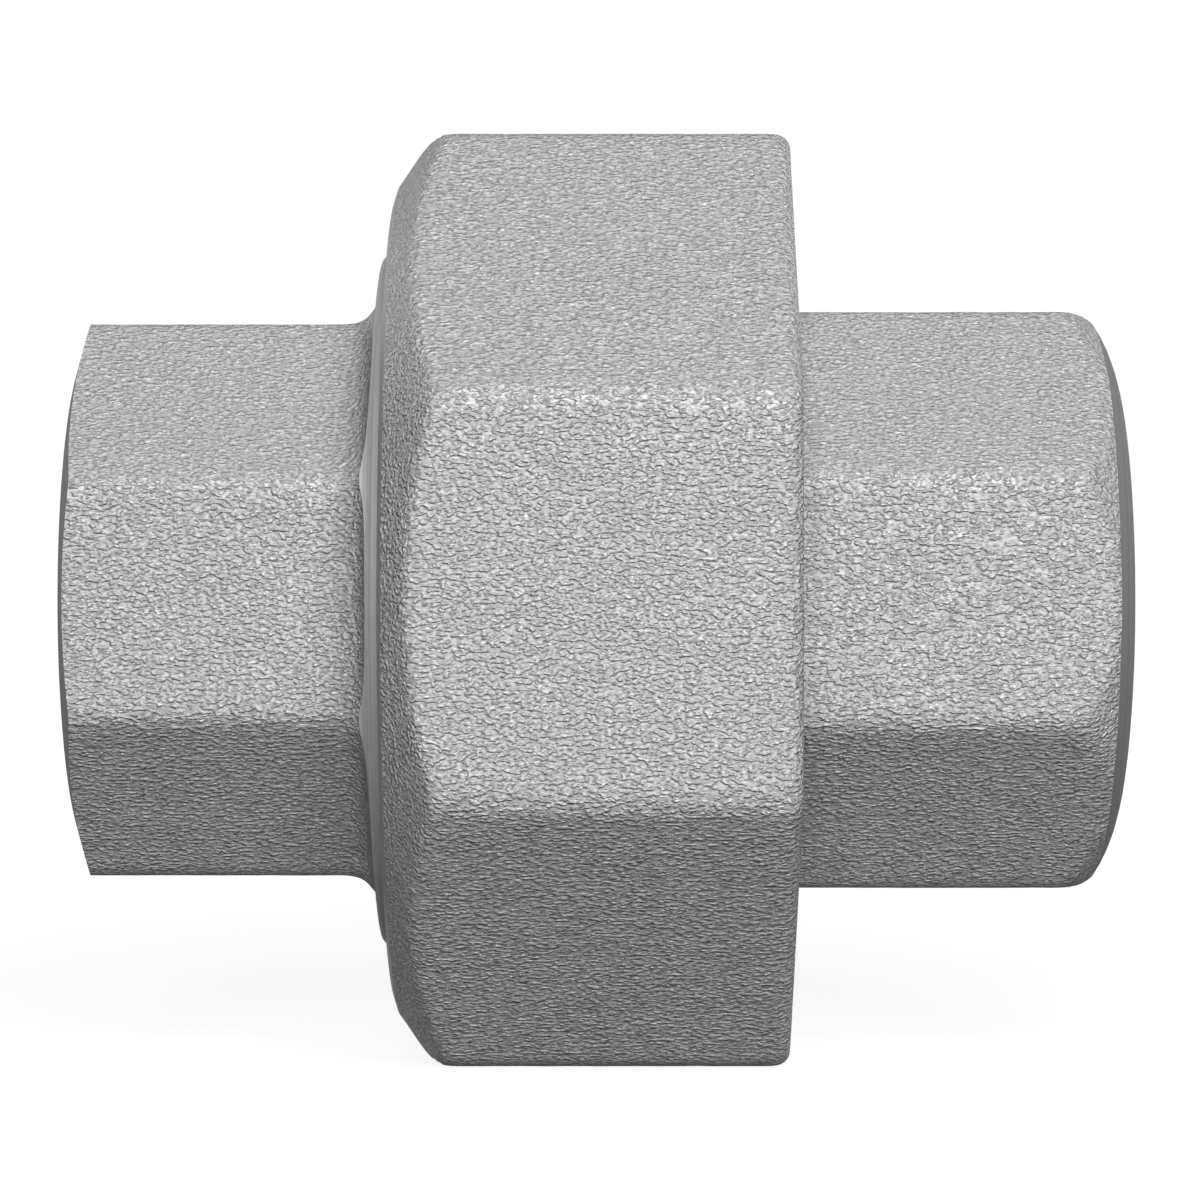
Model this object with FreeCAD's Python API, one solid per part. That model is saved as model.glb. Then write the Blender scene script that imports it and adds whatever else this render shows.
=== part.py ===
import FreeCAD, Part
import math
import os

from FreeCAD import Vector

# A conical pipe union in cast stainless steel: three pieces on one axis.
# The tail piece (left) carries a collar and a male cone, the body (right) carries
# the female cone and an outside thread, and the nut pulls the two cones together.
# Millimetres. +X runs along the pipe axis from the tail piece towards the body,
# +Z is up, and the union lies on one flat of its nut.
# The origin is on the axis, half way along the finished union.
# Threads are left off the solids: a threaded wall is plain at the thread's root.

# Pipe sockets, for a half-inch parallel pipe thread
pipe_thread_dia = 20.955
socket_depth = 13.5
socket_mouth_chamfer = 0.55
socket_stop = 1.4775
socket_stop_angle = 45.0

# Tail piece, with its walls counted outwards from the socket
tail_wall = 2.17
tail_edge_round = 1.0
tail_hub_length = 13.7
tail_end_land = 1.12
tail_end_angle = 73.0
neck_rise = 1.4
neck_fillet = 1.2
neck_length = 2.8
collar_lip = 1.65
collar_thick = 3.5
collar_chamfer = 0.4

# Cone seat, metal on metal
seat_angle = 45.0
seat_length = 3.0
seat_tip_wall = 1.2
seat_gap = 0.05
seat_foot_land = 0.4

# Union thread between the nut and the body, wide enough for the collar to pass
collar_clearance = 0.22
union_thread_pitch = 2.0
union_thread_play = 0.1

# Nut, with its walls counted outwards from the thread and the neck
nut_wall = 4.0
nut_edge_round = 1.5
nut_length = 18.0
nut_face_set_in = 1.865
nut_face_break = 0.315
nut_break_angle = 72.0
nut_chamfer_angle = 55.0
nut_rim_chamfer = 0.45
nut_mouth_chamfer = 0.5
nut_relief_width = 2.2
nut_relief_depth = 0.3
nose_wall = 2.0
nose_height = 0.6
nose_chamfer = 0.2
shoulder_thick = 2.57
shoulder_play = 0.05
neck_clearance = 0.15

# Body
body_wall = 2.72
body_edge_round = 1.0
body_hub_fillet = 1.2
body_hub_length = 16.2
body_thread_length = 10.9
body_thread_chamfer = 0.8
body_collar_gap = 0.5
body_end_land = 0.72
body_end_band = 0.885
body_end_angle = 65.5
body_shoulder_angle = 39.0

# Depth of a metric thread as a share of its pitch, cut inside the nut and outside the body
INSIDE_THREAD_DEPTH = 0.5413
OUTSIDE_THREAD_DEPTH = 0.6134

SIDES = 8
AXIS = Vector(1, 0, 0)
CENTRE = Vector(0, 0, 0)


def tangent(angle):
    return math.tan(math.radians(angle))


# Radii, from the waterway outwards
pipe_bore = pipe_thread_dia / 2
waterway = pipe_bore - socket_stop
tail_flat = pipe_bore + tail_wall
neck = tail_flat + neck_rise
collar = neck + collar_lip
thread_crest_in_nut = collar + collar_clearance
union_thread = thread_crest_in_nut + INSIDE_THREAD_DEPTH * union_thread_pitch
nut_thread_root = union_thread + union_thread_play
body_thread_root = union_thread - OUTSIDE_THREAD_DEPTH * union_thread_pitch
nut_flat = union_thread + nut_wall
neck_bore = neck + neck_clearance
nose = neck_bore + nose_wall
body_flat = pipe_bore + body_wall
seat_tip_radius = waterway + seat_tip_wall
seat_root_radius = seat_tip_radius + seat_length * tangent(seat_angle)

# Places along the pipe, counted from the tail piece's end face
neck_start = tail_hub_length
collar_back = neck_start + neck_length
collar_front = collar_back + collar_thick
seat_tip = collar_front + seat_length
seat_shift = seat_gap / math.sin(math.radians(seat_angle))
nut_shoulder = collar_back - shoulder_play
nut_nose = nut_shoulder - shoulder_thick
nut_face = nut_nose + nose_height
nut_mouth = nut_face + nut_length
body_start = collar_front + body_collar_gap
hub_start = body_start + body_thread_length
body_end = hub_start + body_hub_length
middle = body_end / 2

# Larger than any piece, for the tools that trim and cut
FAR = 3 * nut_flat
PAST = 1.0

# Closer than this, an edge counts as lying at a place
SAME_PLACE = 0.01


def at(x, r):
    """A point of a half section: x along the pipe, r out from its axis."""
    return Vector(x, 0, r)


def ring(*points):
    """The solid that a half section makes about the pipe axis, from its corners in turn."""
    section = Part.Face(Part.makePolygon([*points, points[0]]))
    return section.revolve(CENTRE, AXIS, 360)


def octagon(flat, x):
    """An eight-sided outline across the pipe, with flats at the top and at the front."""
    corner = flat / math.cos(math.pi / SIDES)
    turns = [math.pi / SIDES * (2 * side + 1) for side in range(SIDES + 1)]
    return Part.makePolygon([Vector(x, corner * math.cos(t), corner * math.sin(t)) for t in turns])


def octagon_bar(flat, x, far_x, edge_round):
    """An eight-sided bar with rounded long edges."""
    bar = Part.Face(octagon(flat, x)).extrude(AXIS * (far_x - x))
    long_edges = [edge for edge in bar.Edges if edge.BoundBox.XLength > (far_x - x) / 2]
    return bar.makeFillet(edge_round, long_edges)


def foot_edges(shape, x, within):
    """The edges where an octagon bar stands on a wall across the pipe."""
    found = []
    for edge in shape.Edges:
        box = edge.BoundBox
        across = max(abs(box.YMin), box.YMax, abs(box.ZMin), box.ZMax)
        if max(abs(box.XMin - x), abs(box.XMax - x)) < SAME_PLACE and across < within - SAME_PLACE:
            found.append(edge)
    return found


def socket(mouth, inward):
    """The tool for a threaded socket: mouth chamfer, plain wall, and the stop at its foot."""
    foot = mouth + inward * socket_depth
    stop = foot + inward * socket_stop / tangent(socket_stop_angle)
    return ring(
        at(mouth - inward * PAST, 0),
        at(mouth - inward * PAST, pipe_bore + socket_mouth_chamfer + PAST),
        at(mouth + inward * socket_mouth_chamfer, pipe_bore),
        at(foot, pipe_bore),
        at(stop, waterway),
        at(stop, 0),
    )


def waterway_bore():
    """The tool for the plain bore that runs through the union."""
    return ring(at(-PAST, 0), at(-PAST, waterway), at(body_end + PAST, waterway), at(body_end + PAST, 0))


def tail_piece():
    """Octagon hub, neck, collar and male cone, cast as one and turned where it seals."""
    bar = octagon_bar(tail_flat, 0, neck_start + PAST, tail_edge_round)
    end_radius = pipe_bore + tail_end_land
    cone_run = (FAR - end_radius) / tangent(tail_end_angle)
    cone = ring(
        at(0, 0),
        at(0, end_radius),
        at(cone_run, FAR),
        at(cone_run + FAR, FAR),
        at(cone_run + FAR, 0),
    )
    hub = bar.common(cone)

    wide_neck = neck + neck_fillet
    wall = ring(
        at(neck_start, 0),
        at(neck_start, wide_neck),
        at(neck_start + PAST, wide_neck),
        at(neck_start + PAST, 0),
    )
    hub = hub.fuse(wall)
    hub = hub.makeFillet(neck_fillet, foot_edges(hub, neck_start, wide_neck))
    hub = hub.common(ring(at(0, 0), at(0, neck), at(neck_start + PAST, neck), at(neck_start + PAST, 0)))

    shank = ring(
        at(neck_start, 0),
        at(neck_start, neck),
        at(collar_back, neck),
        at(collar_back, collar - collar_chamfer),
        at(collar_back + collar_chamfer, collar),
        at(collar_front - collar_chamfer, collar),
        at(collar_front, collar - collar_chamfer),
        at(collar_front, seat_root_radius),
        at(seat_tip, seat_tip_radius),
        at(seat_tip, 0),
    )
    return hub.fuse(shank).cut(waterway_bore()).cut(socket(0, 1)).removeSplitter()


def union_nut():
    """Octagon nut: a turned nose and shoulder, a relief, and the threaded mouth."""
    bar = octagon_bar(nut_flat, nut_face, nut_mouth, nut_edge_round)
    face_radius = nut_flat - nut_face_set_in
    break_run = nut_face_break / tangent(nut_break_angle) * 2
    cone_start = at(nut_face + break_run, face_radius + nut_face_break)
    cone_end = at(cone_start.x + (FAR - cone_start.z) / tangent(nut_chamfer_angle), FAR)
    trim = ring(
        at(nut_face, 0),
        at(nut_face, face_radius - nut_face_break),
        cone_start,
        cone_end,
        at(nut_mouth + FAR, FAR),
        at(nut_mouth + FAR, 0),
    )
    blank = bar.common(trim)
    mouth_edges = [edge for edge in blank.Edges if edge.BoundBox.XMin > nut_mouth - SAME_PLACE]
    blank = blank.makeChamfer(nut_rim_chamfer, mouth_edges)

    boss = ring(
        at(nut_nose, 0),
        at(nut_nose, nose - nose_chamfer),
        at(nut_nose + nose_chamfer, nose),
        at(nut_face + PAST, nose),
        at(nut_face + PAST, 0),
    )
    relief = nut_thread_root + nut_relief_depth
    relief_end = nut_shoulder + nut_relief_width
    inside = ring(
        at(nut_nose - PAST, 0),
        at(nut_nose - PAST, neck_bore),
        at(nut_shoulder, neck_bore),
        at(nut_shoulder, relief),
        at(relief_end, relief),
        at(relief_end + nut_relief_depth, nut_thread_root),
        at(nut_mouth - nut_mouth_chamfer, nut_thread_root),
        at(nut_mouth + PAST, nut_thread_root + nut_mouth_chamfer + PAST),
        at(nut_mouth + PAST, 0),
    )
    return blank.fuse(boss).cut(inside).removeSplitter()


def union_body():
    """Octagon hub with a twice-bevelled end, the threaded spigot and the female cone."""
    bar = octagon_bar(body_flat, hub_start - PAST, body_end, body_edge_round)
    end_radius = pipe_bore + body_end_land
    band_start = body_end - body_end_band
    band_radius = end_radius + body_end_band * tangent(body_end_angle)
    shoulder_start = band_start - (FAR - band_radius) / tangent(body_shoulder_angle)
    hub = bar.common(ring(
        at(body_end, 0),
        at(body_end, end_radius),
        at(band_start, band_radius),
        at(shoulder_start, FAR),
        at(shoulder_start, 0),
    ))

    spigot = ring(
        at(body_start, 0),
        at(body_start, body_thread_root - body_thread_chamfer),
        at(body_start + body_thread_chamfer, body_thread_root),
        at(hub_start, body_thread_root),
        at(hub_start, 0),
    )
    seat_foot = seat_tip + seat_shift
    seat = ring(
        at(body_start - PAST, 0),
        at(body_start - PAST, seat_tip_radius + (seat_foot - body_start + PAST) * tangent(seat_angle)),
        at(seat_foot, seat_tip_radius),
        at(seat_foot + seat_foot_land, seat_tip_radius),
        at(seat_foot + seat_foot_land, 0),
    )
    solid = hub.fuse(spigot)
    solid = solid.makeFillet(body_hub_fillet, foot_edges(solid, hub_start, body_thread_root))
    return solid.cut(seat).cut(waterway_bore()).cut(socket(body_end, -1)).removeSplitter()


os.makedirs("parts", exist_ok=True)
for name, make in (("tail_piece", tail_piece), ("union_nut", union_nut), ("union_body", union_body)):
    piece = make()
    piece.translate(Vector(-middle, 0, 0))
    piece.exportStep("parts/" + name + ".step")
    print(name, len(piece.Solids), round(piece.Volume, 1), piece.isValid(), piece.BoundBox)
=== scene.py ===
import math

import bmesh
import bpy
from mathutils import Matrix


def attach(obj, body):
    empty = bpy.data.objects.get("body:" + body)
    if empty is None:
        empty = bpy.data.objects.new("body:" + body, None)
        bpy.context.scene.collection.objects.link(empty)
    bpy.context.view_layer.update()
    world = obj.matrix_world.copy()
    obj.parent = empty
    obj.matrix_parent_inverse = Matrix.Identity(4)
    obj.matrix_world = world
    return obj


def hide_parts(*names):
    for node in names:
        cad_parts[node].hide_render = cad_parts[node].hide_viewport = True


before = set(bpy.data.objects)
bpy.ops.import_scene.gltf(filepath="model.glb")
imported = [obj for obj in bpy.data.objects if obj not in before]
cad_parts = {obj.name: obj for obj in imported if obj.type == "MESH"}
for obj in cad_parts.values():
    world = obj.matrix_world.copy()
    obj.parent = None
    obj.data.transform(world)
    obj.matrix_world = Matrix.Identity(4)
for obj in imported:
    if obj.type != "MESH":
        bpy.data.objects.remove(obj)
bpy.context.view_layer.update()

# The made-up union as it is packed. Sizes below are in millimetres; Blender is in metres.
MM = 0.001


# The photographer's place: in front of the union, level with its axis, close enough
# for the end faces to draw in a little. The frame is as wide as it is high.
CAMERA_X = 0.13
CAMERA_DISTANCE = 183.6
CAMERA_LENS = 117.0
CAMERA_SENSOR = 36.0
NEAREST_SEEN = 10.0

camera_data = bpy.data.cameras.new("Camera")
camera_data.lens = CAMERA_LENS
camera_data.sensor_width = CAMERA_SENSOR
camera_data.clip_start = NEAREST_SEEN * MM
camera_data.dof.use_dof = False
camera = bpy.data.objects.new("Camera", camera_data)
camera.location = (CAMERA_X * MM, -CAMERA_DISTANCE * MM, 0)
camera.rotation_euler = (math.pi / 2, 0, 0)
bpy.context.scene.collection.objects.link(camera)
bpy.context.scene.camera = camera
bpy.context.scene.view_settings.view_transform = "Standard"


# The table and its backdrop: one white sheet, lying under the nut and bent upwards
# behind it, as under a product photograph. It stays white and keeps the soft shadow.
TABLE_TOP = -21.0
TABLE_WIDTH = 3000.0
TABLE_FRONT = -1500.0
TABLE_BACK = 1500.0
BACKDROP_HEIGHT = 1500.0
BACKDROP_BEND, BEND_STEPS = 400.0, 12
SHEET_GLOW, FAR_GLOW = 0.88, 1.0
GLOW_NEAR, GLOW_FAR = 60.0, 400.0
SHEET_WHITE = (0.16, 0.16, 0.16, 1)
SHEET_FROM_BELOW = (0.02, 0.02, 0.02, 1)


def deselect():
    """Nothing is left selected, so that the next piece is worked on alone."""
    bpy.ops.object.select_all(action="DESELECT")


def seen_directly(nodes, links):
    """1 for rays from the camera, off a gloss or through glass, and 0 for all others."""
    path = nodes.new("ShaderNodeLightPath")
    first = nodes.new("ShaderNodeMath")
    first.operation = "MAXIMUM"
    both = nodes.new("ShaderNodeMath")
    both.operation = "MAXIMUM"
    links.new(path.outputs["Is Camera Ray"], first.inputs[0])
    links.new(path.outputs["Is Glossy Ray"], first.inputs[1])
    links.new(first.outputs[0], both.inputs[0])
    links.new(path.outputs["Is Transmission Ray"], both.inputs[1])
    return both.outputs[0]


deselect()
bpy.ops.mesh.primitive_plane_add(size=1)
table = bpy.context.object
table.name = "Table_and_backdrop"
table.scale = (TABLE_WIDTH * MM, (TABLE_BACK - TABLE_FRONT) * MM, 1)
table.location = (0, (TABLE_BACK + TABLE_FRONT) / 2 * MM, TABLE_TOP * MM)
bpy.ops.object.transform_apply(location=True, scale=True)
bpy.ops.object.mode_set(mode="EDIT")
bpy.ops.mesh.select_mode(type="EDGE")
bpy.ops.mesh.select_all(action="DESELECT")
sheet = bmesh.from_edit_mesh(table.data)
for edge in sheet.edges:
    edge.select_set(all(corner.co.y > 0 for corner in edge.verts))
bmesh.update_edit_mesh(table.data)
bpy.ops.mesh.extrude_region_move(TRANSFORM_OT_translate={"value": (0, 0, BACKDROP_HEIGHT * MM)})
bpy.ops.mesh.select_all(action="DESELECT")
sheet = bmesh.from_edit_mesh(table.data)
for edge in sheet.edges:
    edge.select_set(all(corner.co.y > 0 and corner.co.z < 0 for corner in edge.verts))
bmesh.update_edit_mesh(table.data)
bpy.ops.mesh.bevel(offset=BACKDROP_BEND * MM, segments=BEND_STEPS, affect="EDGES")
bpy.ops.object.mode_set(mode="OBJECT")
bpy.ops.object.shade_smooth()

paper = bpy.data.materials.new("White sheet")
paper.use_nodes = True
nodes = paper.node_tree.nodes
links = paper.node_tree.links
nodes.clear()
glow = nodes.new("ShaderNodeEmission")
spot = nodes.new("ShaderNodeTexCoord")
away = nodes.new("ShaderNodeVectorMath")
away.operation = "LENGTH"
links.new(spot.outputs["Object"], away.inputs[0])
fading = nodes.new("ShaderNodeMapRange")
fading.inputs["From Min"].default_value = GLOW_NEAR * MM
fading.inputs["From Max"].default_value = GLOW_FAR * MM
fading.inputs["To Min"].default_value = SHEET_GLOW
fading.inputs["To Max"].default_value = FAR_GLOW
links.new(away.outputs["Value"], fading.inputs["Value"])
links.new(fading.outputs[0], glow.inputs["Strength"])
lit = nodes.new("ShaderNodeBsdfDiffuse")
lit.inputs["Color"].default_value = SHEET_WHITE
from_below = nodes.new("ShaderNodeBsdfDiffuse")
from_below.inputs["Color"].default_value = SHEET_FROM_BELOW
white = nodes.new("ShaderNodeAddShader")
links.new(glow.outputs[0], white.inputs[0])
links.new(lit.outputs[0], white.inputs[1])
choice = nodes.new("ShaderNodeMixShader")
links.new(seen_directly(nodes, links), choice.inputs[0])
links.new(from_below.outputs[0], choice.inputs[1])
links.new(white.outputs[0], choice.inputs[2])
surface = nodes.new("ShaderNodeOutputMaterial")
links.new(choice.outputs[0], surface.inputs["Surface"])
table.data.materials.append(paper)


# Studio light: a large soft box in front, above the camera, and a smaller one level with
# it, which pick out the grain of the casting. Two more stand behind, one on each side,
# for the end faces and the back. The room is dim.
ROOM_LIGHT = 0.02
PLAIN_WHITE = (1, 1, 1, 1)
LIGHT_DISTANCE = 700.0
KEY_TURN, KEY_HEIGHT, KEY_SIZE, KEY_POWER = 9.0, 31.0, 450.0, 6.9
FRONT_TURN, FRONT_HEIGHT, FRONT_SIZE, FRONT_POWER = 3.0, 3.0, 240.0, 1.25
BACK_TURN, BACK_HEIGHT, BACK_SIZE, BACK_POWER = 140.0, 3.0, 400.0, 5.0

room = bpy.data.worlds.new("Room")
bpy.context.scene.world = room
room.use_nodes = True
nodes = room.node_tree.nodes
links = room.node_tree.links
nodes.clear()
dim = nodes.new("ShaderNodeBackground")
dim.inputs["Color"].default_value = PLAIN_WHITE
dim.inputs["Strength"].default_value = ROOM_LIGHT
pale = nodes.new("ShaderNodeBackground")
pale.inputs["Color"].default_value = PLAIN_WHITE
pale.inputs["Strength"].default_value = 1.0
choice = nodes.new("ShaderNodeMixShader")
links.new(seen_directly(nodes, links), choice.inputs[0])
links.new(dim.outputs[0], choice.inputs[1])
links.new(pale.outputs[0], choice.inputs[2])
surface = nodes.new("ShaderNodeOutputWorld")
links.new(choice.outputs[0], surface.inputs["Surface"])


def soft_box(name, turn, height, size, power):
    """A square soft box aimed at the union: turn counts from the camera's side, in degrees."""
    turn, height = math.radians(turn), math.radians(height)
    data = bpy.data.lights.new(name, "AREA")
    data.shape = "SQUARE"
    data.size = size * MM
    data.energy = power
    lamp = bpy.data.objects.new(name, data)
    level = LIGHT_DISTANCE * MM * math.cos(height)
    up = LIGHT_DISTANCE * MM * math.sin(height)
    lamp.location = (level * math.sin(turn), -level * math.cos(turn), up)
    lamp.rotation_euler = (math.pi / 2 - height, 0, turn)
    bpy.context.scene.collection.objects.link(lamp)


soft_box("Key_light", KEY_TURN, KEY_HEIGHT, KEY_SIZE, KEY_POWER)
soft_box("Front_light", FRONT_TURN, FRONT_HEIGHT, FRONT_SIZE, FRONT_POWER)
soft_box("Back_left_light", -BACK_TURN, BACK_HEIGHT, BACK_SIZE, BACK_POWER)
soft_box("Back_right_light", BACK_TURN, BACK_HEIGHT, BACK_SIZE, BACK_POWER)


# Tail piece: an octagon hub, neck, collar and male cone, cast in stainless steel in one
# piece in a ceramic shell and blasted, which leaves a fine pebbled skin and soft edges.
# The end face is turned satin, the neck matt, the collar, cone, bores and thread bright.
SIDES = 8
HUB_END, HUB_FOOT = -23.8, -10.1
TAIL_FLAT, TAIL_EDGE_ROUND, EDGE_STEPS = 12.6475, 1.0, 5
FOOT_FLARE, FLARE_STEPS = 1.2, 6
NECK, COLLAR, COLLAR_BACK, COLLAR_FRONT, COLLAR_CHAMFER = 14.0475, 15.6975, -7.3, -3.8, 0.4
SEAT_ROOT, SEAT_TIP, SEAT_TIP_X = 13.2, 10.2, -0.8
TAIL_END_RADIUS, TAIL_END_SLOPE = 11.5975, math.radians(73)

# The sockets of both hubs, with a half-inch pipe thread; places count from the middle.
WATERWAY = 9.0
PIPE_ROOT, PIPE_CREST, PIPE_PITCH, PIPE_FLANK = 10.4775, 9.3155, 25.4 / 14, math.radians(27.5)
MOUTH_CHAMFER = 0.55
THREAD_END, TAP_END, SOCKET_FOOT, SOCKET_STOP = 11.9, 11.1, 10.3, 8.8225

# Metal left on for turning, and how far the tools reach past what they cut.
STOCK = 0.5
AIR = 3.0
OVERCUT = 0.1

# How finely turned and wound shapes are drawn, and how near two points count as one.
TURNED_STEPS = 144
SCREW_STEPS = 72
SAME_POINT = 0.0001

# The skin of a casting: how softly it is rounded, its waves, pebbles and specks, and its tones,
# darker in the pits and lighter on the pebble tops as painted shade and painted light.
SKIN_GRID, SKIN_ROUNDING, SKIN_SOFTENING = 0.28, 8, 0.5
SKIN_WAVE, SKIN_WAVE_DEPTH = 1.3, 0.03
CREASE = math.radians(35)
GRAIN_SCALE, SPECK_SCALE, SWELL_SCALE = 6200, 9000, 700
GRAIN_BUMP, SWELL_BUMP = 0.09, 0.06
GRAIN_STRETCH = (0.55, 1, 1)
NOISE_LOW, NOISE_HIGH = 0.3, 0.7
PEBBLE_FOOT, PEBBLE_TOP = 0.39, 0.71
SPECK_LOW, SPECK_HIGH = 0.2, 0.8
SPECK_DARK, SPECK_LIGHT = 0.63, 1.37
# Grey of the skin: darker in the pebbles' pits as painted shade, lighter on their tops as painted
# light.
CAST_PAINTED_PIT_SHADE, CAST_PAINTED_PEAK_LIGHT = (0.35, 0.35, 0.347, 1), (0.40, 0.40, 0.396, 1)
CAST_METAL, CAST_TINT = 0.2, (0.3, 0.3, 0.3, 1)
CAST_DULLEST, CAST_SMOOTHEST = 0.50, 0.38

# The rings that a turning tool leaves: darker and duller at their foot than at their top.
RING_SCALE, RING_BUMP = 6000, 0.012
RING_DARK, RING_LIGHT = (0.88, 0.88, 0.87), (1.1, 1.1, 1.09)
RING_DULLER, RING_SMOOTHER = 0.05, 0.04
TURNED_TINT = (0.2, 0.2, 0.2, 1)


def take_up(piece):
    """The piece alone is selected, to be worked on."""
    deselect()
    piece.select_set(True)
    bpy.context.view_layer.objects.active = piece


def pick_edges(piece, wanted):
    """In edit mode, selects the edges that the test picks by their two ends."""
    bpy.ops.mesh.select_mode(type="EDGE")
    bpy.ops.mesh.select_all(action="DESELECT")
    shape = bmesh.from_edit_mesh(piece.data)
    for edge in shape.edges:
        edge.select_set(wanted(edge.verts[0].co / MM, edge.verts[1].co / MM))
    bmesh.update_edit_mesh(piece.data)


def pick_faces(piece, wanted):
    """In edit mode, selects the faces that the test picks by their middle."""
    bpy.ops.mesh.select_mode(type="FACE")
    bpy.ops.mesh.select_all(action="DESELECT")
    shape = bmesh.from_edit_mesh(piece.data)
    for face in shape.faces:
        face.select_set(wanted(face.calc_center_median() / MM))
    bmesh.update_edit_mesh(piece.data)


def eight_sided_bar(name, flat, left, right, edge_round):
    """An octagon bar along the pipe axis with rounded long edges, flats up and in front."""
    deselect()
    bpy.ops.mesh.primitive_cylinder_add(
        vertices=SIDES,
        radius=flat / math.cos(math.pi / SIDES) * MM,
        depth=(right - left) * MM,
        location=((left + right) / 2 * MM, 0, 0),
        rotation=(0, math.pi / 2, 0),
    )
    bar = bpy.context.object
    bar.name = name
    bpy.ops.object.transform_apply(location=True, rotation=True)
    bpy.ops.object.mode_set(mode="EDIT")
    bpy.ops.mesh.select_all(action="SELECT")
    bpy.ops.transform.rotate(value=math.pi / SIDES, orient_axis="X", center_override=(0, 0, 0))
    pick_edges(bar, lambda one, other: abs(one.x - other.x) > (right - left) / 2)
    tangent = edge_round * math.tan(math.pi / SIDES)
    bpy.ops.mesh.bevel(offset=tangent * MM, segments=EDGE_STEPS, profile=0.5, affect="EDGES")
    bpy.ops.object.mode_set(mode="OBJECT")
    return bar


def flare(bar, flat, foot, side):
    """Draws the bar's end face out to its foot in a hollow curve; side is +1 or -1 along X."""
    take_up(bar)
    bpy.ops.object.mode_set(mode="EDIT")
    start = foot - side * FOOT_FLARE
    pick_faces(bar, lambda middle: abs(middle.x - start) < SKIN_GRID)
    last_x, last_flat = start, flat
    for step in range(1, FLARE_STEPS + 1):
        turn = math.pi / 2 * step / FLARE_STEPS
        x = start + side * FOOT_FLARE * math.sin(turn)
        wide = flat + FOOT_FLARE * (1 - math.cos(turn))
        grow = wide / last_flat
        bpy.ops.mesh.extrude_region_move(TRANSFORM_OT_translate={"value": ((x - last_x) * MM, 0, 0)})
        bpy.ops.transform.resize(value=(1, grow, grow), center_override=(0, 0, 0))
        last_x, last_flat = x, wide
    bpy.ops.mesh.extrude_region_move(TRANSFORM_OT_translate={"value": (side * STOCK * MM, 0, 0)})
    bpy.ops.object.mode_set(mode="OBJECT")


def turned(name, outline, steps=TURNED_STEPS):
    """A lathe-turned shape: a half section of (x, radius) points, spun about the pipe axis."""
    deselect()
    x, radius = outline[0]
    bpy.ops.mesh.primitive_plane_add(size=MM, location=(x * MM, 0, radius * MM))
    shape = bpy.context.object
    shape.name = name
    bpy.ops.object.transform_apply(location=True)
    bpy.ops.object.mode_set(mode="EDIT")
    bpy.ops.mesh.select_mode(type="VERT")
    bpy.ops.mesh.select_all(action="SELECT")
    bpy.ops.mesh.merge(type="CENTER")
    for last, point in zip(outline, outline[1:] + outline[:1]):
        move = ((point[0] - last[0]) * MM, 0, (point[1] - last[1]) * MM)
        bpy.ops.mesh.extrude_region_move(TRANSFORM_OT_translate={"value": move})
    bpy.ops.mesh.select_all(action="SELECT")
    bpy.ops.mesh.remove_doubles(threshold=SAME_POINT * MM)
    if steps:
        bpy.ops.mesh.spin(steps=steps, angle=2 * math.pi, center=(0, 0, 0), axis=(1, 0, 0))
        bpy.ops.mesh.select_all(action="SELECT")
        bpy.ops.mesh.remove_doubles(threshold=SAME_POINT * MM)
        bpy.ops.mesh.dissolve_degenerate(threshold=SAME_POINT * MM)
        bpy.ops.mesh.delete_loose()
        bpy.ops.mesh.select_all(action="SELECT")
        bpy.ops.mesh.normals_make_consistent(inside=False)
    bpy.ops.object.mode_set(mode="OBJECT")
    return shape


def join(piece, *others):
    """Makes one object of several that overlap."""
    take_up(piece)
    for one in others:
        one.select_set(True)
    bpy.ops.object.join()


def combine(piece, tool, operation):
    """Cuts the piece with the tool, or trims it to the tool, and puts the tool away."""
    take_up(piece)
    cut = piece.modifiers.new("Cut", "BOOLEAN")
    cut.operation = operation
    cut.solver = "MANIFOLD"
    cut.material_mode = "TRANSFER"
    cut.object = tool
    bpy.ops.object.modifier_apply(modifier=cut.name)
    bpy.data.objects.remove(tool)


def cast_skin(piece):
    """Melts the joined shapes into one casting with soft edges and a faintly wavy skin."""
    take_up(piece)
    melt = piece.modifiers.new("Casting", "REMESH")
    melt.mode = "VOXEL"
    melt.voxel_size = SKIN_GRID * MM
    bpy.ops.object.modifier_apply(modifier=melt.name)
    soften = piece.modifiers.new("Soft edges", "SMOOTH")
    soften.factor = SKIN_SOFTENING
    soften.iterations = SKIN_ROUNDING
    bpy.ops.object.modifier_apply(modifier=soften.name)
    waves = bpy.data.textures.new("Faint waves", "CLOUDS")
    waves.noise_scale = SKIN_WAVE * MM
    waves.noise_depth = 1
    wavy = piece.modifiers.new("Faint waves", "DISPLACE")
    wavy.texture = waves
    wavy.texture_coords = "LOCAL"
    wavy.strength = SKIN_WAVE_DEPTH * MM
    wavy.mid_level = 0.5
    bpy.ops.object.modifier_apply(modifier=wavy.name)
    piece.data.materials.clear()


def thread_groove(name, start, pitch, turns, profile):
    """A right-hand screw-shaped cutter: a closed profile of (x, radius) points, wound about X."""
    groove = turned(name, [(start + x, radius) for x, radius in profile], steps=0)
    take_up(groove)
    winding = groove.modifiers.new("Winding", "SCREW")
    winding.axis = "X"
    winding.angle = 2 * math.pi
    winding.screw_offset = pitch * MM
    winding.iterations = turns
    winding.steps = SCREW_STEPS
    winding.render_steps = SCREW_STEPS
    winding.use_smooth_shade = False
    bpy.ops.object.modifier_apply(modifier=winding.name)
    bpy.ops.object.mode_set(mode="EDIT")
    bpy.ops.mesh.select_all(action="SELECT")
    bpy.ops.mesh.fill_holes(sides=0)
    bpy.ops.mesh.select_all(action="SELECT")
    bpy.ops.mesh.normals_make_consistent(inside=False)
    bpy.ops.object.mode_set(mode="OBJECT")
    return groove


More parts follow.
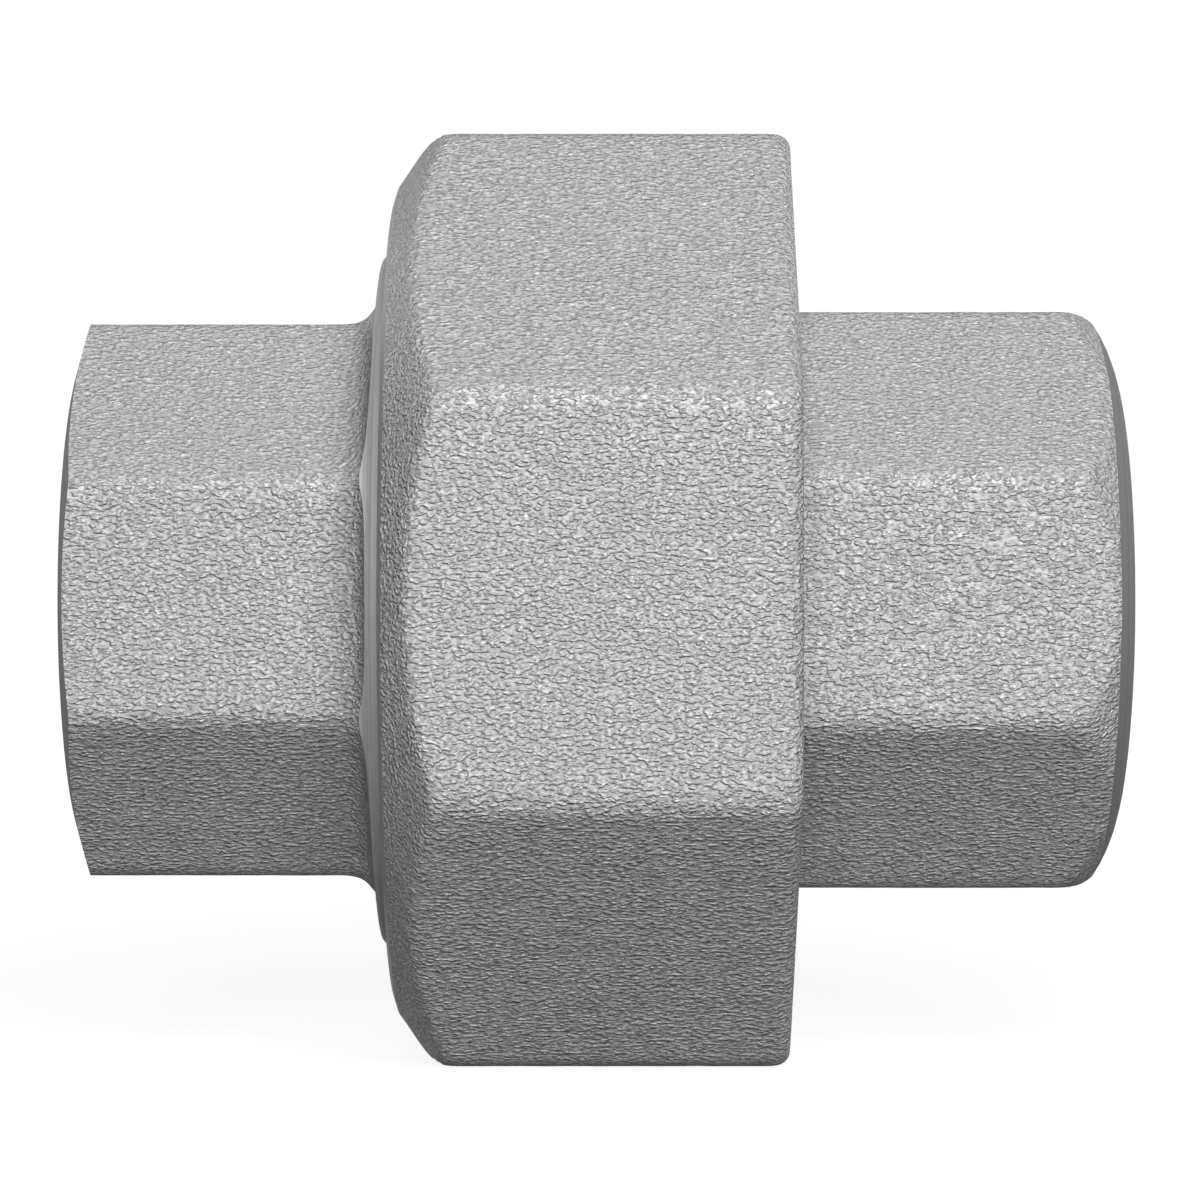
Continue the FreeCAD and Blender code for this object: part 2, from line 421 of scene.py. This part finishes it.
def groove_profile(mouth, mouth_radius, root, root_radius):
    """The outline of a thread's groove, from its widths and radii at the mouth and the root."""
    return [
        (-mouth / 2, mouth_radius),
        (-root / 2, root_radius),
        (root / 2, root_radius),
        (mouth / 2, mouth_radius),
    ]


def pipe_tap(name, left, right):
    """The cutter for a half-inch pipe thread, wound from one x value to the other."""
    root = PIPE_PITCH / 6
    mouth = root + 2 * (PIPE_ROOT - PIPE_CREST + OVERCUT) * math.tan(PIPE_FLANK)
    profile = groove_profile(mouth, PIPE_CREST - OVERCUT, root, PIPE_ROOT)
    return thread_groove(name, left, PIPE_PITCH, round((right - left) / PIPE_PITCH), profile)


def blasted_casting(name, shift):
    """The pebbled grey skin of a blasted steel casting, with painted shade in the pits and painted
    light on the pebble tops.
    """
    skin = bpy.data.materials.new(name)
    skin.use_nodes = True
    nodes = skin.node_tree.nodes
    links = skin.node_tree.links
    shader = nodes["Principled BSDF"]
    shader.inputs["Metallic"].default_value = CAST_METAL
    shader.inputs["Specular IOR Level"].default_value = 0.0
    shader.inputs["Specular Tint"].default_value = CAST_TINT
    place = nodes.new("ShaderNodeTexCoord")
    mapping = nodes.new("ShaderNodeMapping")
    mapping.inputs["Location"].default_value = shift
    mapping.inputs["Scale"].default_value = GRAIN_STRETCH
    links.new(place.outputs["Object"], mapping.inputs["Vector"])

    grain = nodes.new("ShaderNodeTexNoise")
    grain.inputs["Scale"].default_value = GRAIN_SCALE
    grain.inputs["Detail"].default_value = 1.0
    grain.inputs["Roughness"].default_value = 0.5
    links.new(mapping.outputs[0], grain.inputs["Vector"])
    pebbles = nodes.new("ShaderNodeMapRange")
    pebbles.interpolation_type = "SMOOTHSTEP"
    pebbles.inputs["From Min"].default_value = PEBBLE_FOOT
    pebbles.inputs["From Max"].default_value = PEBBLE_TOP
    links.new(grain.outputs["Fac"], pebbles.inputs["Value"])
    specks = nodes.new("ShaderNodeTexNoise")
    specks.inputs["Scale"].default_value = SPECK_SCALE
    specks.inputs["Detail"].default_value = 0.0
    links.new(mapping.outputs[0], specks.inputs["Vector"])
    speck = nodes.new("ShaderNodeMapRange")
    speck.inputs["From Min"].default_value = SPECK_LOW
    speck.inputs["From Max"].default_value = SPECK_HIGH
    speck.inputs["To Min"].default_value = SPECK_DARK
    speck.inputs["To Max"].default_value = SPECK_LIGHT
    links.new(specks.outputs["Fac"], speck.inputs["Value"])
    swell = nodes.new("ShaderNodeTexNoise")
    swell.inputs["Scale"].default_value = SWELL_SCALE
    swell.inputs["Detail"].default_value = 1.0
    links.new(mapping.outputs[0], swell.inputs["Vector"])

    wide_bump = nodes.new("ShaderNodeBump")
    wide_bump.inputs["Strength"].default_value = 1.0
    wide_bump.inputs["Distance"].default_value = SWELL_BUMP * MM
    links.new(swell.outputs["Fac"], wide_bump.inputs["Height"])
    bump = nodes.new("ShaderNodeBump")
    bump.inputs["Strength"].default_value = 1.0
    bump.inputs["Distance"].default_value = GRAIN_BUMP * MM
    links.new(pebbles.outputs[0], bump.inputs["Height"])
    links.new(wide_bump.outputs["Normal"], bump.inputs["Normal"])
    links.new(bump.outputs["Normal"], shader.inputs["Normal"])

    # Painted shade and light: the grey follows the pebbles' height, darker in their pits and lighter
    # on their tops.
    tone = nodes.new("ShaderNodeValToRGB")
    tone.color_ramp.elements[0].color = CAST_PAINTED_PIT_SHADE
    tone.color_ramp.elements[1].color = CAST_PAINTED_PEAK_LIGHT
    links.new(pebbles.outputs[0], tone.inputs["Fac"])
    speckled = nodes.new("ShaderNodeVectorMath")
    speckled.operation = "SCALE"
    links.new(tone.outputs["Color"], speckled.inputs[0])
    links.new(speck.outputs[0], speckled.inputs["Scale"])
    links.new(speckled.outputs["Vector"], shader.inputs["Base Color"])
    rough = nodes.new("ShaderNodeMapRange")
    rough.inputs["From Min"].default_value = NOISE_LOW
    rough.inputs["From Max"].default_value = NOISE_HIGH
    rough.inputs["To Min"].default_value = CAST_DULLEST
    rough.inputs["To Max"].default_value = CAST_SMOOTHEST
    links.new(swell.outputs["Fac"], rough.inputs["Value"])
    links.new(rough.outputs[0], shader.inputs["Roughness"])
    return skin


def turned_steel(name, metal, tone, dull):
    """Turned steel with fine rings that follow the cutting tool."""
    steel = bpy.data.materials.new(name)
    steel.use_nodes = True
    nodes = steel.node_tree.nodes
    links = steel.node_tree.links
    shader = nodes["Principled BSDF"]
    shader.inputs["Metallic"].default_value = metal
    shader.inputs["Specular IOR Level"].default_value = 0.0
    shader.inputs["Specular Tint"].default_value = TURNED_TINT
    place = nodes.new("ShaderNodeTexCoord")
    apart = nodes.new("ShaderNodeSeparateXYZ")
    links.new(place.outputs["Object"], apart.inputs[0])
    across = nodes.new("ShaderNodeCombineXYZ")
    links.new(apart.outputs["Y"], across.inputs["X"])
    links.new(apart.outputs["Z"], across.inputs["Y"])
    radius = nodes.new("ShaderNodeVectorMath")
    radius.operation = "LENGTH"
    links.new(across.outputs[0], radius.inputs[0])
    ring_place = nodes.new("ShaderNodeCombineXYZ")
    links.new(apart.outputs["X"], ring_place.inputs["X"])
    links.new(radius.outputs["Value"], ring_place.inputs["Y"])
    rings = nodes.new("ShaderNodeTexNoise")
    rings.inputs["Scale"].default_value = RING_SCALE
    rings.inputs["Detail"].default_value = 2.0
    links.new(ring_place.outputs[0], rings.inputs["Vector"])
    bump = nodes.new("ShaderNodeBump")
    bump.inputs["Strength"].default_value = 1.0
    bump.inputs["Distance"].default_value = RING_BUMP * MM
    links.new(rings.outputs["Fac"], bump.inputs["Height"])
    links.new(bump.outputs["Normal"], shader.inputs["Normal"])
    shade = nodes.new("ShaderNodeValToRGB")
    shade.color_ramp.elements[0].position = NOISE_LOW
    shade.color_ramp.elements[0].color = (*(tone * share for share in RING_DARK), 1)
    shade.color_ramp.elements[1].position = NOISE_HIGH
    shade.color_ramp.elements[1].color = (*(tone * share for share in RING_LIGHT), 1)
    links.new(rings.outputs["Fac"], shade.inputs["Fac"])
    links.new(shade.outputs["Color"], shader.inputs["Base Color"])
    rough = nodes.new("ShaderNodeMapRange")
    rough.inputs["From Min"].default_value = NOISE_LOW
    rough.inputs["From Max"].default_value = NOISE_HIGH
    rough.inputs["To Min"].default_value = dull + RING_DULLER
    rough.inputs["To Max"].default_value = dull - RING_SMOOTHER
    links.new(rings.outputs["Fac"], rough.inputs["Value"])
    links.new(rough.outputs[0], shader.inputs["Roughness"])
    return steel


bright = turned_steel("Turned steel", metal=0.7, tone=0.24, dull=0.34)
satin = turned_steel("Satin turned steel", metal=0.3, tone=0.19, dull=0.55)
matt = turned_steel("Matt turned steel", metal=0.2, tone=0.42, dull=0.62)


def finish_piece(piece):
    """Smooth skin, with a crisp line wherever the turning tool met the casting."""
    take_up(piece)
    bpy.ops.object.mode_set(mode="EDIT")
    bpy.ops.mesh.select_mode(type="FACE")
    bpy.ops.mesh.select_all(action="DESELECT")
    piece.active_material_index = 0
    bpy.ops.object.material_slot_select()
    bpy.ops.mesh.region_to_loop()
    bpy.ops.mesh.mark_sharp()
    bpy.ops.object.mode_set(mode="OBJECT")
    bpy.ops.object.shade_smooth_by_angle(angle=CREASE, keep_sharp_edges=True)


def machine(piece, finish, *tools):
    """Cuts the casting with one turned tool after another, which leave their finish on it."""
    for tool in tools:
        tool.data.materials.append(finish)
        combine(piece, tool, "DIFFERENCE")


tail = eight_sided_bar(
    "Tail_piece_casting",
    TAIL_FLAT,
    HUB_END - STOCK,
    HUB_FOOT - FOOT_FLARE,
    TAIL_EDGE_ROUND,
)
flare(tail, TAIL_FLAT, HUB_FOOT, 1)
shank = turned("Shank", [
    (HUB_FOOT, 0),
    (HUB_FOOT, COLLAR + STOCK),
    (STOCK, COLLAR + STOCK),
    (STOCK, 0),
])
join(tail, shank)
cast_skin(tail)
tail_skin = blasted_casting("Blasted casting, tail piece", shift=(0.011, 0.003, 0.007))
tail.data.materials.append(tail_skin)

end_run = (NECK + AIR - TAIL_END_RADIUS) / math.tan(TAIL_END_SLOPE)
end_facing = turned("End facing", [
    (HUB_END - AIR, 0),
    (HUB_END, 0),
    (HUB_END, TAIL_END_RADIUS),
    (HUB_END + end_run, NECK + AIR),
    (HUB_END - AIR, NECK + AIR),
])
neck_turning = turned("Neck turning", [
    (HUB_FOOT - AIR, NECK),
    (COLLAR_BACK, NECK),
    (COLLAR_BACK, COLLAR + AIR),
    (HUB_FOOT - AIR, COLLAR + AIR),
])
collar_turning = turned("Collar turning", [
    (COLLAR_BACK - AIR, COLLAR - COLLAR_CHAMFER),
    (COLLAR_BACK, COLLAR - COLLAR_CHAMFER),
    (COLLAR_BACK + COLLAR_CHAMFER, COLLAR),
    (COLLAR_FRONT - COLLAR_CHAMFER, COLLAR),
    (COLLAR_FRONT, COLLAR - COLLAR_CHAMFER),
    (COLLAR_FRONT, SEAT_ROOT),
    (SEAT_TIP_X, SEAT_TIP),
    (SEAT_TIP_X, 0),
    (STOCK + AIR, 0),
    (STOCK + AIR, COLLAR + 2 * AIR),
    (COLLAR_BACK - AIR, COLLAR + 2 * AIR),
])


def socket_boring(name, end, past):
    """The boring tool for a pipe socket and the waterway behind it; end and past are x values."""
    inward = 1 if past > end else -1
    crest_run = MOUTH_CHAMFER + PIPE_ROOT - PIPE_CREST
    foot = -inward * SOCKET_FOOT
    stop = -inward * SOCKET_STOP
    relief = -inward * THREAD_END
    return turned(name, [
        (end - inward * AIR, 0),
        (end - inward * AIR, PIPE_ROOT + MOUTH_CHAMFER + AIR),
        (end + inward * crest_run, PIPE_CREST),
        (relief - inward * (PIPE_ROOT - PIPE_CREST), PIPE_CREST),
        (relief, PIPE_ROOT),
        (foot, PIPE_ROOT),
        (stop, WATERWAY),
        (past, WATERWAY),
        (past, 0),
    ])


machine(tail, satin, end_facing)
machine(tail, matt, neck_turning)
machine(
    tail,
    bright,
    collar_turning,
    socket_boring("Tail boring", HUB_END, STOCK + AIR),
    pipe_tap("Tail tap", HUB_END - PIPE_PITCH, -TAP_END),
)
finish_piece(tail)
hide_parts("tail_piece")
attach(tail, "tail")


# Union nut: a wide octagon nut, cast and blasted like the rest. Its coned end draws in to
# a low nose, turned matt like the mouth's face; inside, turned bright, are the neck bore,
# the shoulder that pulls on the collar, a relief, and the union thread.
NUT_FLAT, NUT_EDGE_ROUND = 21.0, 1.5
NUT_FACE, NUT_MOUTH, NUT_NOSE = -9.32, 8.68, -9.92
NUT_FACE_RADIUS, NUT_BREAK_RADIUS, NUT_BREAK_X = 18.82, 19.45, -9.115
NUT_CONE_SLOPE = math.tan(math.radians(55))
NUT_RIM_ROUND, RIM_STEPS = 0.45, 3
MOUTH_SKIM = 0.02
NOSE, NOSE_CHAMFER = 16.1975, 0.2
NECK_BORE, SHOULDER_X = 14.1975, -7.35
RELIEF, RELIEF_END = 17.4, -5.15
UNION_THREAD, UNION_PITCH, UNION_FLANK = 17.0, 2.0, math.radians(30)
NUT_ROOT, NUT_CREST = 17.1, 15.9175
NUT_MOUTH_RADIUS = 17.6
NUT_TAP_START, NUT_TAP_TURNS = -6.1, 8
FLANK_PLAY = 0.03

nut = eight_sided_bar("Union_nut_casting", NUT_FLAT, NUT_FACE - STOCK, NUT_MOUTH, NUT_EDGE_ROUND)
bpy.ops.object.mode_set(mode="EDIT")
pick_edges(nut, lambda one, other: min(one.x, other.x) > NUT_MOUTH - SKIN_GRID)
bpy.ops.mesh.bevel(offset=NUT_RIM_ROUND * MM, segments=RIM_STEPS, profile=0.5, affect="EDGES")
bpy.ops.object.mode_set(mode="OBJECT")
far_radius = NUT_FLAT + 2 * AIR
combine(nut, turned("Nut cone", [
    (NUT_FACE - STOCK, 0),
    (NUT_FACE - STOCK, NUT_BREAK_RADIUS + (NUT_FACE - STOCK - NUT_BREAK_X) * NUT_CONE_SLOPE),
    (NUT_BREAK_X + (far_radius - NUT_BREAK_RADIUS) / NUT_CONE_SLOPE, far_radius),
    (NUT_MOUTH + AIR, far_radius),
    (NUT_MOUTH + AIR, 0),
]), "INTERSECT")
boss = turned("Nut boss", [
    (NUT_NOSE - STOCK, 0),
    (NUT_NOSE - STOCK, NOSE + STOCK),
    (NUT_FACE + STOCK, NOSE + STOCK),
    (NUT_FACE + STOCK, 0),
])
join(nut, boss)
cast_skin(nut)
nut_skin = blasted_casting("Blasted casting, union nut", shift=(0.023, 0.017, 0.029))
nut.data.materials.append(nut_skin)

nose_turning = turned("Nose turning", [
    (NUT_NOSE - AIR, 0),
    (NUT_NOSE, 0),
    (NUT_NOSE, NOSE - NOSE_CHAMFER),
    (NUT_NOSE + NOSE_CHAMFER, NOSE),
    (NUT_FACE, NOSE),
    (NUT_FACE, NUT_FACE_RADIUS),
    (NUT_BREAK_X, NUT_BREAK_RADIUS),
    (NUT_NOSE - AIR, NUT_BREAK_RADIUS + STOCK),
])
mouth_facing = turned("Mouth facing", [
    (NUT_MOUTH - MOUTH_SKIM, 0),
    (NUT_MOUTH - MOUTH_SKIM, far_radius),
    (NUT_MOUTH + AIR, far_radius),
    (NUT_MOUTH + AIR, 0),
])
nut_boring = turned("Nut boring", [
    (NUT_NOSE - AIR, 0),
    (NUT_NOSE - AIR, NECK_BORE),
    (SHOULDER_X, NECK_BORE),
    (SHOULDER_X, RELIEF),
    (RELIEF_END, RELIEF),
    (RELIEF_END + RELIEF - NUT_CREST, NUT_CREST),
    (NUT_MOUTH - (NUT_MOUTH_RADIUS - NUT_CREST), NUT_CREST),
    (NUT_MOUTH + AIR, NUT_MOUTH_RADIUS + AIR),
    (NUT_MOUTH + AIR, 0),
])
flank_run = 2 * math.tan(UNION_FLANK)
tap_root = UNION_PITCH / 8 - (NUT_ROOT - UNION_THREAD) * flank_run + 2 * FLANK_PLAY
tap_mouth = tap_root + (NUT_ROOT - NUT_CREST + OVERCUT) * flank_run
tap_profile = groove_profile(tap_mouth, NUT_CREST - OVERCUT, tap_root, NUT_ROOT)
nut_tap = thread_groove("Nut tap", NUT_TAP_START, UNION_PITCH, NUT_TAP_TURNS, tap_profile)
machine(nut, matt, nose_turning, mouth_facing)
machine(nut, bright, nut_boring, nut_tap)
finish_piece(nut)
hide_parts("union_nut")
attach(nut, "nut")


# Union body: the second octagon hub, with a rounded end, and behind it the spigot that
# carries the male union thread and the conical seat. Cast and blasted; its end band is
# turned satin, and the spigot, the seat, the bores and the pipe thread bright.
BODY_FLAT, BODY_EDGE_ROUND = 13.1975, 1.0
BODY_FRONT, BODY_FOOT, BODY_END = -3.3, 7.6, 23.8
BODY_SHOULDER_SLOPE = math.tan(math.radians(39))
BAND_RADIUS, BAND_X, BODY_END_RADIUS = 13.139, 22.915, 11.1975
BAND_IN, BAND_OUT = (0.153, 0.352, 0.596), (0.517, 1.013, 1.487)
SPIGOT_CREST, SPIGOT_ROOT = 16.95, 15.773
SPIGOT_FRONT_RADIUS = 14.973
DIE_START, DIE_TURNS, DIE_OVERCUT = -5.1, 7, 0.05
SEAT_MOUTH_RADIUS, SEAT_FOOT_X, SEAT_LAND = 12.7707, -0.7293, 0.4

body = eight_sided_bar(
    "Union_body_casting",
    BODY_FLAT,
    BODY_FOOT + FOOT_FLARE,
    BODY_END + STOCK,
    BODY_EDGE_ROUND,
)
flare(body, BODY_FLAT, BODY_FOOT, -1)
combine(body, turned("Body shoulder", [
    (BODY_FRONT - AIR, 0),
    (BODY_FRONT - AIR, far_radius),
    (BAND_X - (far_radius - BAND_RADIUS) / BODY_SHOULDER_SLOPE, far_radius),
    (BODY_END + STOCK, BAND_RADIUS - (BODY_END + STOCK - BAND_X) * BODY_SHOULDER_SLOPE),
    (BODY_END + STOCK, 0),
]), "INTERSECT")
spigot = turned("Spigot", [
    (BODY_FRONT - STOCK, 0),
    (BODY_FRONT - STOCK, SPIGOT_CREST + STOCK),
    (BODY_FOOT, SPIGOT_CREST + STOCK),
    (BODY_FOOT, 0),
])
join(body, spigot)
cast_skin(body)
body_skin = blasted_casting("Blasted casting, union body", shift=(0.041, 0.037, 0.013))
body.data.materials.append(body_skin)

band_turning = turned("Band turning", [
    (BODY_END + AIR, 0),
    (BODY_END, 0),
    (BODY_END, BODY_END_RADIUS),
    *((BODY_END - back, BODY_END_RADIUS + out) for back, out in zip(BAND_IN, BAND_OUT)),
    (BAND_X, BAND_RADIUS),
    (BODY_END + AIR, BAND_RADIUS + AIR),
])
spigot_turning = turned("Spigot turning", [
    (BODY_FRONT - AIR, 0),
    (BODY_FRONT, 0),
    (BODY_FRONT, SPIGOT_FRONT_RADIUS),
    (BODY_FRONT + SPIGOT_CREST - SPIGOT_FRONT_RADIUS, SPIGOT_CREST),
    (BODY_FOOT + AIR, SPIGOT_CREST),
    (BODY_FOOT + AIR, far_radius),
    (BODY_FRONT - AIR, far_radius),
])
seat_turning = turned("Seat turning", [
    (BODY_FRONT - AIR, 0),
    (BODY_FRONT - AIR, SEAT_MOUTH_RADIUS + AIR),
    (SEAT_FOOT_X, SEAT_TIP),
    (SEAT_FOOT_X + SEAT_LAND, SEAT_TIP),
    (SEAT_FOOT_X + SEAT_LAND, 0),
])
die_root = UNION_PITCH * 7 / 8 - (UNION_THREAD - SPIGOT_ROOT) * flank_run + 2 * FLANK_PLAY
die_mouth = die_root + (SPIGOT_CREST + DIE_OVERCUT - SPIGOT_ROOT) * flank_run
die_profile = groove_profile(die_mouth, SPIGOT_CREST + DIE_OVERCUT, die_root, SPIGOT_ROOT)
spigot_die = thread_groove("Spigot die", DIE_START, UNION_PITCH, DIE_TURNS, die_profile)
machine(body, satin, band_turning)
machine(
    body,
    bright,
    spigot_turning,
    seat_turning,
    spigot_die,
    socket_boring("Body boring", BODY_END, BODY_FRONT - AIR),
    pipe_tap("Body tap", TAP_END, BODY_END + PIPE_PITCH),
)
finish_piece(body)
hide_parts("union_body")
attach(body, "body")
